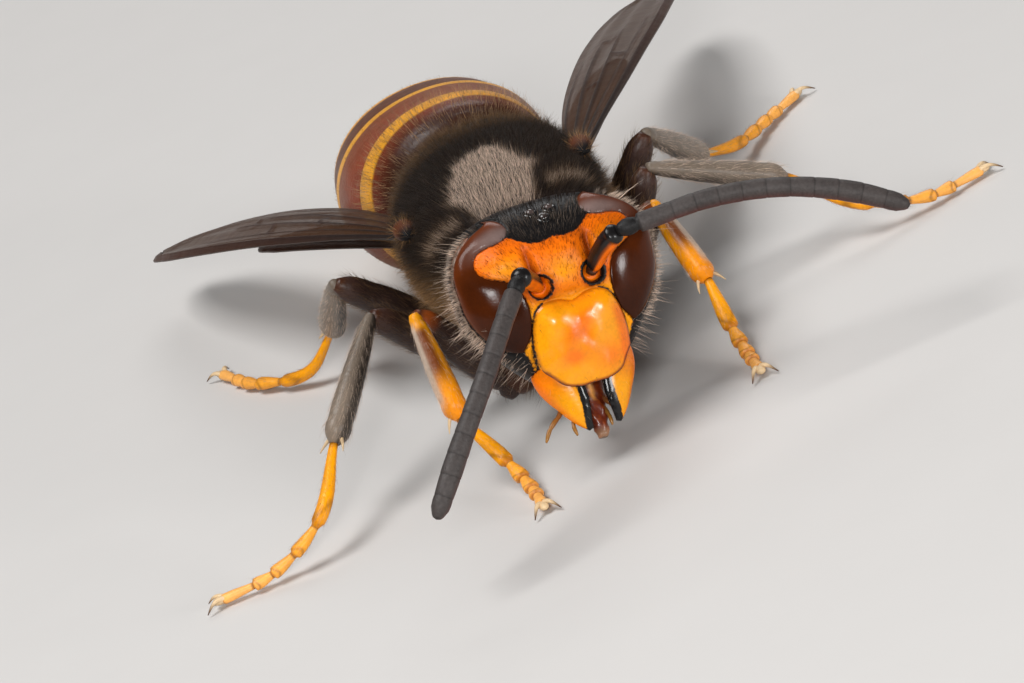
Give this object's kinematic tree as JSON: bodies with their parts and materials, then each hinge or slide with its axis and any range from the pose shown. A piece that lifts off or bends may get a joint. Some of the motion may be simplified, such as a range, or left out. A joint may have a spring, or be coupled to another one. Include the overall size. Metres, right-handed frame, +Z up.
{
  "type": "asian hornet",
  "caption": "Life-size Asian hornet model: orange face, dark body, banded abdomen, folded wings, yellow feet; stands still on its feet.",
  "frame": {"origin": "middle of the floor plan, at the level of the soles", "axes": "+Y from head to tail, +X to the animal's left, +Z up"},
  "size_m": [0.0229, 0.0297, 0.0068],
  "materials": {
    "orange_shell": "glossy orange shell of the face with dark crown",
    "dark_shell": "blackish brown shell under short brown-grey hair",
    "brown_shell": "dark brown shell, satin",
    "ochre_shell": "ochre yellow hind segments, satin",
    "yellow_shell": "yellow shell of jaws and feet, satin",
    "eye_shell": "dark red-brown, glossy",
    "feeler_shell": "charcoal, finely downy",
    "wing_film": "smoky brown see-through film"
  },
  "bodies": {
    "root": {"head": "orange_shell", "eye_right": "eye_shell", "mandible_right": "yellow_shell", "scape_right": "feeler_shell", "flagellum_right": "feeler_shell", "tegula_right": "brown_shell", "forewing_right": "wing_film", "hindwing_right": "wing_film", "eye_left": "eye_shell", "mandible_left": "yellow_shell", "scape_left": "feeler_shell", "flagellum_left": "feeler_shell", "tegula_left": "brown_shell", "forewing_left": "wing_film", "hindwing_left": "wing_film", "mouthparts": "brown_shell", "neck": "dark_shell", "thorax": "dark_shell", "waist": "brown_shell", "gaster_1": "brown_shell", "gaster_2": "brown_shell", "gaster_3": "brown_shell", "gaster_4": "ochre_shell", "gaster_5": "ochre_shell", "gaster_6": "ochre_shell", "coxa_front_right": "dark_shell", "femur_front_right": "dark_shell", "tibia_front_right": "brown_shell", "tarsus_front_right": "yellow_shell", "coxa_front_left": "dark_shell", "femur_front_left": "dark_shell", "tibia_front_left": "brown_shell", "tarsus_front_left": "yellow_shell", "coxa_middle_right": "dark_shell", "femur_middle_right": "dark_shell", "tibia_middle_right": "brown_shell", "tarsus_middle_right": "yellow_shell", "coxa_middle_left": "dark_shell", "femur_middle_left": "dark_shell", "tibia_middle_left": "brown_shell", "tarsus_middle_left": "yellow_shell", "coxa_hind_right": "dark_shell", "femur_hind_right": "dark_shell", "tibia_hind_right": "brown_shell", "tarsus_hind_right": "yellow_shell", "coxa_hind_left": "dark_shell", "femur_hind_left": "dark_shell", "tibia_hind_left": "brown_shell", "tarsus_hind_left": "yellow_shell"}
  },
  "joints": []
}
